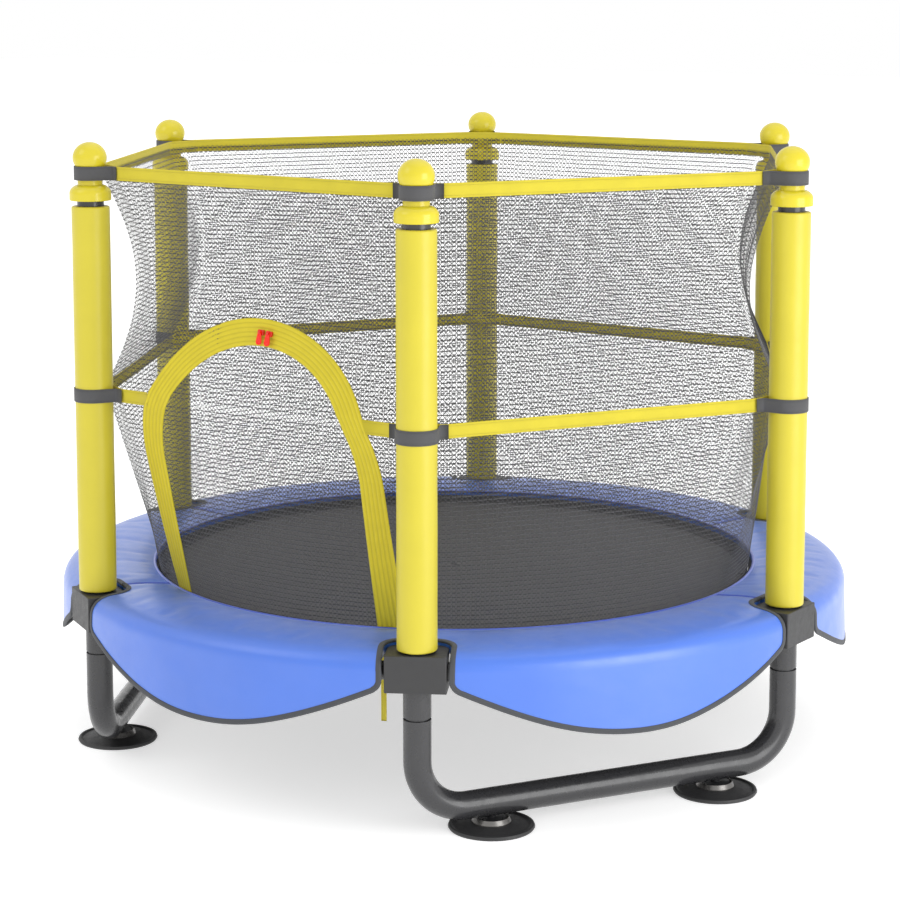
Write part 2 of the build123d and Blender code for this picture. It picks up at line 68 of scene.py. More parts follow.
class Shade:
    """A small wrapper that builds one node material step by step."""

    def __init__(self, name, color, rough, **sockets):
        self.mat = bpy.data.materials.new(name)
        self.mat.use_nodes = True
        self.nt = self.mat.node_tree
        self.bsdf = self.nt.nodes["Principled BSDF"]
        self.color = color
        self.set(**{"Base Color": color, "Roughness": rough})
        self.set(**{k.replace("_", " "): v for k, v in sockets.items()})

    def set(self, **sockets):
        for key, value in sockets.items():
            self.bsdf.inputs[key].default_value = value

    def node(self, kind, **inputs):
        made = self.nt.nodes.new(kind)
        for key, value in inputs.items():
            key = key.replace("_", " ") if isinstance(key, str) else key
            socket = made.inputs[int(key[3:])] if key.startswith("in ") else made.inputs[key]
            if isinstance(value, bpy.types.NodeSocket):
                self.nt.links.new(value, socket)
            else:
                socket.default_value = value
        return made

    def math(self, op, a, b=0.0, c=0.0):
        made = self.nt.nodes.new("ShaderNodeMath")
        made.operation = op
        for socket, value in zip(made.inputs, (a, b, c)):
            if isinstance(value, bpy.types.NodeSocket):
                self.nt.links.new(value, socket)
            else:
                socket.default_value = value
        return made.outputs[0]

    def where(self, kind="Object"):
        return self.nt.nodes.new("ShaderNodeTexCoord").outputs[kind]

    def split(self, vector):
        made = self.nt.nodes.new("ShaderNodeSeparateXYZ")
        self.nt.links.new(vector, made.inputs[0])
        return made.outputs

    def noise(self, scale, detail=4, rough=0.55, where=None):
        made = self.node("ShaderNodeTexNoise", Scale=scale, Detail=detail, Roughness=rough)
        self.nt.links.new(where or self.where(), made.inputs["Vector"])
        return made.outputs["Fac"]

    def ramp(self, value, low, high, at=(0.3, 0.7)):
        made = self.nt.nodes.new("ShaderNodeMapRange")
        self.nt.links.new(value, made.inputs["Value"])
        for key, number in zip(("From Min", "From Max", "To Min", "To Max"), (*at, low, high)):
            made.inputs[key].default_value = number
        return made.outputs[0]

    def tint(self, value, dark, light):
        """Varies the colour between dark and light times the base colour."""
        made = self.nt.nodes.new("ShaderNodeMix")
        made.data_type = "RGBA"
        made.inputs["A"].default_value = tuple(c * dark for c in self.color[:3]) + (1,)
        made.inputs["B"].default_value = tuple(min(1, c * light) for c in self.color[:3]) + (1,)
        self.nt.links.new(value, made.inputs["Factor"])
        self.nt.links.new(made.outputs["Result"], self.bsdf.inputs["Base Color"])

    def rough(self, value):
        self.nt.links.new(value, self.bsdf.inputs["Roughness"])

    def bump(self, height, distance, strength=1.0):
        made = self.node("ShaderNodeBump", Height=height, Distance=distance, Strength=strength)
        last = self.bsdf.inputs["Normal"].links
        if last:
            self.nt.links.new(last[0].from_socket, made.inputs["Normal"])
        self.nt.links.new(made.outputs[0], self.bsdf.inputs["Normal"])

    def weave(self, a, b, pitch_a, pitch_b):
        """A plain weave's height, from two coordinates in metres."""
        wave_a = self.math("SINE", self.math("MULTIPLY", a, math.tau / pitch_a))
        wave_b = self.math("SINE", self.math("MULTIPLY", b, math.tau / pitch_b))
        return self.math("MULTIPLY_ADD", self.math("MULTIPLY", wave_a, wave_b), 0.5, 0.5)

    def stitches(self, along, across, rows, pitch=0.0032, wide=0.00045):
        """1 on the thread of each stitched row, and 0 elsewhere."""
        total = None
        dash = self.math("LESS_THAN", self.math("FRACT", self.math("DIVIDE", along, pitch)), 0.72)
        for row in rows:
            near = self.math("LESS_THAN", self.math("ABSOLUTE", self.math("SUBTRACT", across, row)), wide)
            line = self.math("MULTIPLY", near, dash)
            total = line if total is None else self.math("MAXIMUM", total, line)
        return total


# How sharp and how dark the painted shade in a tape's grooves is.
GROOVE_SHADE_SHARPNESS, GROOVE_PAINTED_SHADE = 4, 0.6


def webbing(name, color, rows=(), pitch=0.0016, shaded_groove_pitch=0.0, **more):
    """Woven tape, with its length along U and its width along V, in metres, with painted shade in its
    grooves.
    """
    s = Shade(name, color, 0.7, Sheen_Weight=0.08, Sheen_Roughness=0.5, **more)
    along, across, _ = s.split(s.where("UV"))
    height = s.weave(along, across, pitch, pitch * 0.8)
    grime = s.noise(24, 3)
    value = s.math("MULTIPLY_ADD", height, 0.35, s.math("MULTIPLY", grime, 0.65))
    if rows:
        thread = s.stitches(along, across, rows)
        value = s.math("SUBTRACT", value, s.math("MULTIPLY", thread, 0.55))
        s.bump(thread, 0.0005, 0.8)
    # Painted shade: the tape is darkened along the grooves between its ridges.
    if shaded_groove_pitch:
        line = s.math("COSINE", s.math("MULTIPLY", across, math.tau / shaded_groove_pitch))
        line = s.math("POWER", s.math("MULTIPLY_ADD", line, 0.5, 0.5), GROOVE_SHADE_SHARPNESS)
        value = s.math("SUBTRACT", value, s.math("MULTIPLY", line, GROOVE_PAINTED_SHADE))
    s.tint(value, 0.78, 1.08)
    s.bump(height, 0.0003, 0.7)
    return s.mat


def painted(name, color, rough=0.36, coat=0.0):
    s = Shade(name, color, rough, Coat_Weight=coat)
    s.tint(s.noise(9, 3), 0.85, 1.15)
    s.rough(s.ramp(s.noise(60, 5), rough - 0.06, rough + 0.1))
    s.bump(s.noise(700, 3), 0.0001, 0.2)
    return s.mat


def moulded(name, color, rough=0.5, grain=0.0002, sheen=0.0):
    s = Shade(name, color, rough, Sheen_Weight=sheen)
    s.tint(s.noise(14, 4), 0.93, 1.05)
    s.rough(s.ramp(s.noise(90, 4), rough - 0.05, rough + 0.07))
    s.bump(s.noise(1500, 2), grain, 0.6)
    return s.mat


def brushed(name, color):
    s = Shade(name, color, 0.28, Metallic=1.0, Anisotropic=0.4)
    squeeze = s.node("ShaderNodeMapping", Vector=s.where())
    squeeze.inputs["Scale"].default_value = (1, 1, 40)
    s.rough(s.ramp(s.noise(60, 5, where=squeeze.outputs[0]), 0.2, 0.42))
    s.tint(s.noise(30, 3), 0.88, 1.05)
    return s.mat


def coated_cloth(name, color):
    """PVC-coated cloth: a fine cloth grain under a soft gloss."""
    s = Shade(name, color, 0.38, Coat_Weight=0.9, Coat_Roughness=0.32)
    s.set(**{"Specular IOR Level": 0.8})
    x, y, z = s.split(s.where())
    s.tint(s.noise(7, 3), 0.92, 1.08)
    s.rough(s.ramp(s.noise(40, 4), 0.36, 0.5))
    s.bump(s.noise(34, 4), 0.0012, 0.35)
    warp, weft = s.math("ADD", x, y), s.math("ADD", z, s.math("SUBTRACT", x, y))
    s.bump(s.weave(warp, weft, 0.0012, 0.0012), 0.0001, 0.5)
    return s.mat


def woven_mat(name, color):
    s = Shade(name, color, 0.62, Sheen_Weight=0.15)
    x, y, _ = s.split(s.where())
    height = s.weave(x, y, 0.0024, 0.0024)
    s.tint(s.math("MULTIPLY_ADD", height, 0.4, s.math("MULTIPLY", s.noise(6, 4), 0.6)), 0.75, 1.15)
    s.bump(height, 0.0004, 0.8)
    return s.mat


def thread(name, color):
    s = Shade(name, color, 0.7, Sheen_Weight=0.3)
    s.tint(s.noise(12, 2), 0.8, 1.2)
    s.bump(s.noise(2500, 1), 0.0001, 0.5)
    return s.mat


M = {
    "foam": moulded("foam_skin", srgb(202, 188, 48), 0.36, 0.00012, 0.05),
    "cap": moulded("cap_plastic", srgb(210, 194, 42), 0.2, 0.00003),
    "block": moulded("block_plastic", srgb(51, 51, 52), 0.45, 0.0003),
    "tube": painted("tube_paint", srgb(49, 49, 51), 0.27, 0.3),
    "rubber": moulded("foot_rubber", srgb(46, 46, 47), 0.5, 0.0004),
    "hub": brushed("hub_steel", srgb(120, 118, 116)),
    "stud": painted("stud_steel", srgb(40, 40, 42), 0.3),
    "wire": brushed("ring_wire", srgb(190, 190, 192)),
    "net": thread("net_thread", srgb(46, 45, 48)),
    "strap": webbing("strap_webbing", srgb(208, 192, 40), (0.004, 0.021)),
    "clip": webbing("clip_webbing", srgb(78, 78, 80), (0.003, 0.022)),
    # The zipper tape carries painted shade in the grooves between its ridges.
    "zipper": webbing("zipper_tape", srgb(214, 196, 30), pitch=0.0012, shaded_groove_pitch=0.008),
    # The tail's tape is a lighter, paler yellow than the zipper tape: painted light that lifts the tail out
    # of the shade under the pad.
    "tail": webbing("zipper_tail_tape_lightened", srgb(222, 206, 60), (0.0030, 0.0070), pitch=0.0012),
    "slider": painted("slider_enamel", srgb(214, 34, 18), 0.25, 0.5),
    "pull": moulded("pull_plastic", srgb(240, 34, 10), 0.25, 0.00005),
    "pad": coated_cloth("pad_cover", srgb(42, 103, 208)),
    "piping": coated_cloth("pad_piping", srgb(20, 72, 190)),
    "backing": coated_cloth("pad_backing", srgb(60, 62, 66)),
    "binding": webbing("binding_tape", srgb(70, 72, 76), (0.0045,), pitch=0.0014),
    "mat": woven_mat("mat_weave", srgb(37, 36, 38)),
    "hem": webbing("mat_hem", srgb(46, 46, 48), (0.002, 0.013), pitch=0.002),
    "elastic": webbing("elastic_braid", srgb(36, 36, 38), pitch=0.0022),
}


# ------------------------------------------------------------------ mesh tools


def mesh_object(name, verts, faces, mat, body=None, smooth=True, uvs=None):
    """Makes a mesh from arrays of equal-sized faces. uvs has one pair per vertex."""
    verts, faces = np.asarray(verts, np.float32).reshape(-1, 3), np.asarray(faces, np.int32)
    count, corners = faces.shape
    mesh = bpy.data.meshes.new(name)
    mesh.vertices.add(len(verts))
    mesh.vertices.foreach_set("co", verts.ravel())
    mesh.loops.add(count * corners)
    mesh.loops.foreach_set("vertex_index", faces.ravel())
    mesh.polygons.add(count)
    mesh.polygons.foreach_set("loop_start", np.arange(count, dtype=np.int32) * corners)
    if uvs is not None:
        layer = mesh.uv_layers.new(name="UVMap")
        layer.data.foreach_set("uv", np.asarray(uvs, np.float32)[faces.ravel()].ravel())
    mesh.update(calc_edges=True)
    mesh.validate()
    if smooth:
        mesh.polygons.foreach_set("use_smooth", np.ones(count, bool))
    obj = bpy.data.objects.new(name, mesh)
    bpy.context.scene.collection.objects.link(obj)
    mesh.materials.append(M[mat])
    if body:
        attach(obj, body)
    return obj


def merge(parts):
    """Joins (verts, faces, uvs) tuples into one."""
    verts, faces, uvs, base = [], [], [], 0
    for v, f, u in parts:
        verts.append(v)
        faces.append(np.asarray(f) + base)
        uvs.append(u)
        base += len(v)
    return np.concatenate(verts), np.concatenate(faces), np.concatenate(uvs)


def unit(v):
    return v / np.maximum(np.linalg.norm(v, axis=-1, keepdims=True), 1e-12)


def grid_faces(rows, cols, wrap_rows=False, wrap_cols=False):
    i, j = np.meshgrid(np.arange(rows - (not wrap_rows)), np.arange(cols - (not wrap_cols)), indexing="ij")
    i, j, i2, j2 = i.ravel(), j.ravel(), (i.ravel() + 1) % rows, (j.ravel() + 1) % cols
    return np.stack([i * cols + j, i * cols + j2, i2 * cols + j2, i2 * cols + j], 1)


def sweep(path, across, normal, profile, closed=False, loop=True, caps=True):
    """Sweeps a profile of (across, normal) pairs along a path; UVs are metres along and around."""
    path, across, normal = (np.asarray(a, float) for a in (path, across, normal))
    prof = np.asarray(profile, float)
    verts = path[:, None] + prof[None, :, :1] * across[:, None] + prof[None, :, 1:] * normal[:, None]
    faces = grid_faces(len(path), len(prof), closed, loop)
    step = np.linalg.norm(np.diff(path, axis=0), axis=1)
    along = np.concatenate([[0], np.cumsum(step)])
    uvs = np.stack(np.broadcast_arrays(along[:, None], prof[None, :, 0] - prof[:, 0].min()), -1)
    if caps and loop and not closed:
        n, last = len(prof), (len(path) - 1) * len(prof)
        ends = [[last + k, last + n - 1 - k, last + n - 2 - k, last + k + 1] for k in range(n // 2 - 1)]
        starts = [[k + 1, n - 2 - k, n - 1 - k, k] for k in range(n // 2 - 1)]
        faces = np.concatenate([faces, starts, ends])
    return verts.reshape(-1, 3), faces, uvs.reshape(-1, 2)


def flat_profile(width, low, high, ridges=0, ridge=0.0):
    """A tape's section: its back along low, its front along high, ridged along its length."""
    steps = max(2, ridges * 6)
    xs = np.linspace(-width / 2, width / 2, steps + 1)
    rise = 0.5 - 0.5 * np.cos(np.linspace(0, math.tau * ridges, steps + 1)) if ridges else 0
    front = np.broadcast_to(high + ridge * rise, xs.shape).copy()
    front[[0, -1]] = low + (front[[0, -1]] - low) * 0.5
    return list(zip(xs, front)) + list(zip(xs[::-1], np.full(xs.shape, low)))


def tube_profile(radius, sides):
    turns = np.arange(sides) * math.tau / sides
    return np.stack([radius * np.cos(turns), radius * np.sin(turns)], 1)


def facing_out(verts, faces):
    """Turns a closed mesh's faces round if they look inward."""
    a, b, c, d = (verts[faces[:, k]] for k in range(4))
    volume = np.einsum("ij,ij->", a, np.cross(b, c)) + np.einsum("ij,ij->", a, np.cross(c, d))
    return faces if volume > 0 else faces[:, ::-1]


def points_of(obj):
    co = np.empty(len(obj.data.vertices) * 3, np.float32)
    obj.data.vertices.foreach_get("co", co)
    return co.reshape(-1, 3).astype(float)


def puff(pieces, cap, frames=20):
    """Swells closed pieces by cloth simulation. Each comes with a mask of its sewn-down points."""
    for obj, sewn in pieces:
        group = obj.vertex_groups.new(name="sewn")
        group.add([int(k) for k in np.flatnonzero(sewn)], 1.0, "REPLACE")
        cloth = obj.modifiers.new("Cloth", "CLOTH")
        st = cloth.settings
        st.quality, st.mass, st.vertex_group_mass = 5, 0.3, "sewn"
        st.tension_stiffness = st.compression_stiffness = 15
        st.shear_stiffness, st.bending_stiffness = 5, 1.0
        st.use_pressure, st.uniform_pressure_force = True, 4
        st.shrink_min = st.shrink_max = -0.004
        st.effector_weights.gravity = 0
        cloth.point_cache.frame_start, cloth.point_cache.frame_end = 1, frames
    for frame_no in range(1, frames + 1):
        bpy.context.scene.frame_set(frame_no)
    for obj, _ in pieces:
        start = points_of(obj)
        done = obj.evaluated_get(bpy.context.evaluated_depsgraph_get())
        moved = points_of(done) - start
        size = np.linalg.norm(moved, axis=1, keepdims=True)
        moved *= cap * np.tanh(size / cap) / np.maximum(size, 1e-9)
        moved[:, 2] = np.maximum(moved[:, 2], -0.0008)
        obj.modifiers.clear()
        obj.vertex_groups.clear()
        obj.data.vertices.foreach_set("co", (start + moved).astype(np.float32).ravel())
        obj.data.update()
    bpy.context.scene.frame_set(1)


def polar(turn_deg, r, z):
    a = np.radians(turn_deg)
    return np.stack(np.broadcast_arrays(r * np.cos(a), r * np.sin(a), z), -1)


def smooth_cad(node, mat, angle=32):
    obj = NODES[node]
    obj.data.materials.clear()
    obj.data.materials.append(M[mat])
    obj.data.polygons.foreach_set("use_smooth", np.ones(len(obj.data.polygons), bool))
    obj.data.set_sharp_from_angle(angle=rad(angle))
    obj.data.update()


# ------------------------------------------------------------------ carried-over CAD parts

for n in range(1, 7):
    smooth_cad(f"ring_tube_{n}", "tube")
    smooth_cad(f"corner_block_{n}", "block")
    smooth_cad(f"pole_{n}", "tube")
    smooth_cad(f"pole_cap_{n}", "cap")
    smooth_cad(f"suction_foot_{n}", "rubber")
for n in range(1, 4):
    smooth_cad(f"u_leg_{n}", "tube")
for node, mat in (
    ("foot_hubs", "hub"), ("foot_studs", "stud"), ("leg_sockets", "tube"),
    ("mat_rings", "wire"), ("zipper_slider_left", "slider"), ("zipper_slider_right", "slider"),
    ("pull_tab_left", "pull"), ("pull_tab_right", "pull"),
):
    smooth_cad(node, mat)


# ------------------------------------------------------------------ the enclosure's surface

CORNER, CORNER_HALF = POLE_CIRCLE - 0.037, 0.045
APOTHEM = CORNER * math.cos(rad(30)) + CORNER_HALF * math.sin(rad(30))
CORNER_DEG = 30 - math.degrees(math.atan2(CORNER_HALF, CORNER))
MID_LOW, MID_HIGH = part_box("mid_strap")[0].z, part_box("mid_strap")[1].z
TOP_LOW, TOP_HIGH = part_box("top_strap")[0].z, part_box("top_strap")[1].z
TOP_MIDDLE, MID_MIDDLE = (TOP_LOW + TOP_HIGH) / 2, (MID_LOW + MID_HIGH) / 2
NET_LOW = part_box("lower_net")[0].z
NET_BOTTOM_R = 0.574
NECK_SIDE_IN, NECK_DOOR_IN, NECK_CORNER_IN = 0.058, 0.030, 0.049
ARCH_Z, ARCH_R, ARCH_FOOT, TAPE = 0.586, 0.244, 0.236, 0.048


def hexagon_radius(turn, side_in, corner_in):
    """A hexagon with cut corners, drawn in by side_in along its sides and by corner_in at its corners."""
    side = (APOTHEM - side_in) / np.cos(np.radians(turn))
    return np.minimum(side, (CORNER - corner_in) / np.cos(np.radians(30 - np.abs(turn))))


def net_radius(turn, z, inset, neck_in):
    """The net is drawn in to a neck between the straps, and tapers to a circle at the pad."""
    way = np.clip((z - MID_HIGH) / (TOP_LOW - MID_HIGH), 0, 1)
    low = np.clip((MID_LOW - z) / (MID_LOW - NET_LOW), 0, 1)
    pull = np.sin(math.pi * way)
    shape = hexagon_radius(turn, inset + neck_in * pull, inset + NECK_CORNER_IN * pull)
    return (1 - low) * shape + low * (NET_BOTTOM_R - inset)


NET_INSET = 0.0022


def on_net(side, turn, z, inset=NET_INSET):
    """Points of one side of the enclosure at angles from its middle and at heights."""
    neck_in = NECK_DOOR_IN if side == DOOR else NECK_SIDE_IN
    return polar(SIDE_DEGS[side] + turn, net_radius(turn, z, inset, neck_in), z)


# ------------------------------------------------------------------ foam sleeves


FOAM_UNEVEN, WELD_DEPTH = 0.00035, 0.0009


def sleeve(turn, seed):
    """A foam tube with soft rims, a welded seam down its length and slight unevenness."""
    low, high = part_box("foam_sleeve_1")[0].z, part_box("foam_sleeve_1")[1].z
    inner, outer, bend = 0.0244, 0.0345, 0.0035
    curve = np.radians(np.linspace(0, 90, 6))
    rim = np.stack([outer - bend + bend * np.cos(curve), high - bend + bend * np.sin(curve)], 1)
    foot = np.stack([rim[::-1, 0], low + high - rim[::-1, 1]], 1)
    wall = np.stack([np.full(96, outer), np.linspace(low + bend, high - bend, 98)[1:-1]], 1)
    bore = np.stack([np.full(12, inner), np.linspace(high, low, 12)], 1)
    line = np.concatenate([foot, wall, rim, bore])
    round_deg = np.arange(0, 360, 6.0)
    r, z = line[:, :1], np.broadcast_to(line[:, 1:], (len(line), len(round_deg)))
    on_skin = (r > inner + 0.004).astype(float)
    bumps = np.array([[noise.noise(Vector((math.cos(rad(t)) * 1.3, math.sin(rad(t)) * 1.3 + seed, h * 14)))
                       for t in round_deg] for h in line[:, 1]])
    weld = np.exp(-(((round_deg - 180) / 5) ** 2))[None]
    r = r + on_skin * (FOAM_UNEVEN * bumps - WELD_DEPTH * weld - 0.0002)
    pts = polar(round_deg[None], r, z).reshape(-1, 3)
    uvs = np.stack([np.broadcast_to(np.radians(round_deg) * outer, z.shape), z], -1).reshape(-1, 2)
    faces = facing_out(pts, grid_faces(len(line), len(round_deg), True, True))
    c, s = math.cos(rad(turn)), math.sin(rad(turn))
    x, y = pts[:, 0] + POLE_CIRCLE, pts[:, 1]
    return np.stack([x * c - y * s, x * s + y * c, pts[:, 2]], 1), faces, uvs


for n, turn in enumerate(POLE_DEGS, start=1):
    v, f, u = sleeve(turn, 3.7 * n)
    foam = mesh_object(f"foam_sleeve_skin_{n}", v, f, "foam", "frame", uvs=u)
    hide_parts(f"foam_sleeve_{n}")


# ------------------------------------------------------------------ net


def threads(start, end, out, half):
    """Open flattened tubes from start to end, lying in the net's surface, for many threads at once."""
    along = unit(end - start)
    side = unit(np.cross(along, out)) * half
    up = np.cross(side, along) * THREAD_FLAT
    rings = []
    for off in (side, up, -side, -up):
        rings += [start + off, end + off]
    verts = np.stack(rings, 1)
    base = (np.arange(len(start)) * 8)[:, None, None]
    quads = np.array([[0, 1, 3, 2], [2, 3, 5, 4], [4, 5, 7, 6], [6, 7, 1, 0]])[None]
    return verts.reshape(-1, 3), (base + quads).reshape(-1, 4)


CELLS_ACROSS = 74
KNOT_HALF, KNOT_R, THREAD_R, THREAD_FLAT = 0.0034, 0.00098, 0.00044, 0.2


def net_cells(low, high, rows):
    """Every thread of one side: its start and end (turn, z), and whether it is a knot."""
    i, j = np.meshgrid(np.arange(2 * CELLS_ACROSS + 1), np.arange(rows + 1), indexing="ij")
    jitter = np.sin(i * 12.9898 + j * 78.233) * 43758.5453
    shift_a, shift_b = (jitter % 1) - 0.5, (jitter * 7 % 1) - 0.5
    half_w, half_h = 60 / (2 * CELLS_ACROSS), (high - low) / rows
    inner = (i > 0) & (i < 2 * CELLS_ACROSS) & (j > 0) & (j < rows)
    turn = i * half_w - 30 + 0.10 * shift_a * inner
    z = low + j * half_h + 0.0009 * shift_b * inner
    segments = []
    for di in (-1, 1):
        ok = ((i + j) % 2 == 0) & (j < rows) & (i + di >= 0) & (i + di <= 2 * CELLS_ACROSS)
        a, b = i[ok], j[ok]
        ends = turn[a + di, b + 1], z[a + di, b + 1]
        segments.append((turn[a, b], z[a, b], *ends, np.zeros(ok.sum(), bool)))
    ok = inner & (i % 2 == 0) & (j % 2 == 0)
    reach, lean = math.degrees(KNOT_HALF / 0.6) * (1 + 0.4 * shift_a[ok]), 0.0007 * shift_b[ok]
    ends = turn[ok] + reach, z[ok] + lean
    segments.append((turn[ok] - reach, z[ok] - lean, *ends, np.ones(ok.sum(), bool)))
    return [np.concatenate(parts) for parts in zip(*segments)]


def inside_arch(turn, z):
    """Whether points of the door's side lie inside the zipper's line."""
    x = net_radius(turn, z, 0, NECK_DOOR_IN) * np.sin(np.radians(turn))
    half = ARCH_FOOT + (ARCH_R - ARCH_FOOT) * np.clip((z - NET_LOW) / (ARCH_Z - NET_LOW), 0, 1)
    return np.where(z < ARCH_Z, np.abs(x) < half, x * x + (z - ARCH_Z) ** 2 < ARCH_R ** 2)


NET_SLACK = 0.0011


def sag(side, turn, z):
    """Small slack of the mesh between its straps, different on each side."""
    way = np.where(z > MID_HIGH, (z - MID_HIGH) / (TOP_LOW - MID_HIGH), (z - NET_LOW) / (MID_LOW - NET_LOW))
    free = np.sin(math.pi * np.clip(way, 0, 1))
    a = np.radians(turn)
    ripple = np.sin(19 * a + 1.7 * side) + 0.6 * np.sin(31 * a + 5 * z + 2.3 * side)
    return NET_SLACK * free * (ripple + 0.5 * np.sin(23 * z + side))


def net_side(name, node, side, rows_of, keep_door):
    """One panel of the net as a mesh of threads."""
    verts, faces, total = [], [], 0
    for low, high, rows in rows_of:
        t0, z0, t1, z1, knot = net_cells(low, high, rows)
        if side == DOOR:
            inside = inside_arch((t0 + t1) / 2, (z0 + z1) / 2)
            pick = inside if keep_door else ~inside
            t0, z0, t1, z1, knot = (a[pick] for a in (t0, z0, t1, z1, knot))
        start, end = (on_net(side, t, z, NET_INSET + sag(side, t, z)) for t, z in ((t0, z0), (t1, z1)))
        out = polar(SIDE_DEGS[side] + t0, 1.0, 0.0)
        v, f = threads(start, end, out, np.where(knot, KNOT_R, THREAD_R)[:, None])
        verts.append(v)
        faces.append(f + total)
        total += len(v)
    panel = mesh_object(name, np.concatenate(verts), np.concatenate(faces), "net")
    if UPPER in rows_of and not keep_door:
        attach(panel, "frame")
    else:
        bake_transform(panel)
    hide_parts(node)


# Each panel's lower and upper edge and its rows of cells.
UPPER, LOWER = (0.6923, TOP_LOW + 0.012, 95), (NET_LOW, 0.6919, 90)
for side in range(6):
    net_side(f"upper_net_{side + 1}", "upper_net", side, [UPPER], False)
    net_side(f"lower_net_{side + 1}", "lower_net", side, [LOWER], False)
net_side("door_net_mesh", "door_net", DOOR, [UPPER, LOWER], True)


# ------------------------------------------------------------------ straps and clips


def rounded(points, radius, steps=6, closed=False):
    """A plan polyline with its corners rounded."""
    pts, out = [np.asarray(p, float) for p in points], []
    count = len(pts)
    for k, p in enumerate(pts):
        if not closed and k in (0, count - 1):
            out.append(p)
            continue
        a, b = pts[k - 1], pts[(k + 1) % count]
        u, v = unit(a - p), unit(b - p)
        cut = min(radius, 0.45 * np.linalg.norm(a - p), 0.45 * np.linalg.norm(b - p))
        for s in np.linspace(0, 1, steps + 1):
            out.append((1 - s) ** 2 * (p + u * cut) + 2 * s * (1 - s) * p + s * s * (p + v * cut))
    return np.array(out)


WEB_EDGE, STRAP_THICK, STRAP_BEND, STRAP_UNDER_TAPE = 0.0007, 0.0012, 0.012, 0.004


def band(plan, z, low, high, closed, width=0.025):
    """Upright webbing along a plan polyline, with faces at low and high to the right of the way it runs."""
    plan = np.asarray(plan, float)
    nxt = np.roll(plan, -1, 0) - plan
    prev = plan - np.roll(plan, 1, 0)
    if not closed:
        nxt[-1], prev[0] = prev[-1], nxt[0]
    along = unit(unit(nxt) + unit(prev))
    out = np.stack([along[:, 1], -along[:, 0], np.zeros(len(plan))], 1)
    up = np.tile([0.0, 0.0, 1.0], (len(plan), 1))
    path = np.column_stack([plan, np.full(len(plan), z)])
    half, mid = width / 2, (low + high) / 2
    flat = half - WEB_EDGE
    profile = [(-flat, low), (-half, mid), (-flat, high), (flat, high), (half, mid), (flat, low)]
    return sweep(path, up, out, profile, closed, True, not closed)


def strap_plan(start=None, stop=None):
    """The hexagon with cut corners that a strap follows, whole or open at the door from start to stop."""
    turns = [side * 60 - 30 + sign * CORNER_DEG for side in range(6) for sign in (-1, 1)]
    r = float(hexagon_radius(CORNER_DEG, 0.0, 0.0))
    pts = [(r * math.cos(rad(t)), r * math.sin(rad(t))) for t in turns]
    if start is None:
        return rounded(pts, STRAP_BEND, closed=True), True
    order = pts[11:] + pts[:11]
    return rounded([(start, -APOTHEM), *order, (stop, -APOTHEM)], STRAP_BEND), False


plan, closed = strap_plan()
v, f, u = band(plan, TOP_MIDDLE, -STRAP_THICK, 0.0, closed)
top_strap = mesh_object("top_strap_webbing", v, f, "strap", "frame", uvs=u)
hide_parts("top_strap")
reach = math.sqrt((ARCH_R + TAPE / 2) ** 2 - (MID_MIDDLE - ARCH_Z) ** 2) - STRAP_UNDER_TAPE
plan, closed = strap_plan(reach, -reach)
v, f, u = band(plan, MID_MIDDLE, -STRAP_THICK, 0.0, closed)
mid_strap = mesh_object("mid_strap_webbing", v, f, "strap", "frame", uvs=u)
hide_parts("mid_strap")


def clip(loop_r, z):
    """A webbing loop round a pole, sewn to the net's corner at both ends."""
    back = 0.0345
    wing = loop_r + 0.014
    arc = [(loop_r * math.cos(rad(t)), loop_r * math.sin(rad(t))) for t in range(-90, 91, 9)]
    right = [(-back - 0.001, -wing), (-back + 0.004, -loop_r)]
    left = [(x, -y) for x, y in reversed(right)]
    return band(rounded([*right, *arc, *left], 0.004, 3), z, -0.00075, 0.00075, False)


def at_pole(part, turn):
    v, f, u = part
    c, s = math.cos(rad(turn)), math.sin(rad(turn))
    x = v[:, 0] + POLE_CIRCLE
    return np.stack([x * c - v[:, 1] * s, x * s + v[:, 1] * c, v[:, 2]], 1), f, u


for name, loop_r, z in (("top_clips", 0.0282, TOP_MIDDLE), ("mid_clips", 0.0357, MID_MIDDLE)):
    part = clip(loop_r, z)
    v, f, u = merge([at_pole(part, t) for t in POLE_DEGS])
    clips = mesh_object(f"{name}_webbing", v, f, "clip", "frame", uvs=u)
    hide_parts(name)


# ------------------------------------------------------------------ door zipper


def door_point(x, z, inset):
    """The point of the door's side at a sideways distance x from its middle."""
    turn = np.degrees(np.arcsin(np.clip(x / 0.62, -1, 1)))
    for _ in range(8):
        turn = np.degrees(np.arcsin(np.clip(x / net_radius(turn, z, inset, NECK_DOOR_IN), -1, 1)))
    return on_net(DOOR, turn, z, inset)


def arch_line():
    """The zipper's centre line: (sideways, height), up one leg, over the arch and down the other."""
    legs = np.linspace(NET_LOW, ARCH_Z, 60)[:-1]
    half = ARCH_FOOT + (ARCH_R - ARCH_FOOT) * (legs - NET_LOW) / (ARCH_Z - NET_LOW)
    turns = np.linspace(-90, 90, 150)
    x = np.concatenate([-half, ARCH_R * np.sin(np.radians(turns)), half[::-1]])
    z = np.concatenate([legs, ARCH_Z + ARCH_R * np.cos(np.radians(turns)), legs[::-1]])
    return x, z


TAPE_INSET, TAPE_FRONT, TAPE_RIDGES, TAPE_RIDGE = 0.0014, 0.0007, 6, 0.0011


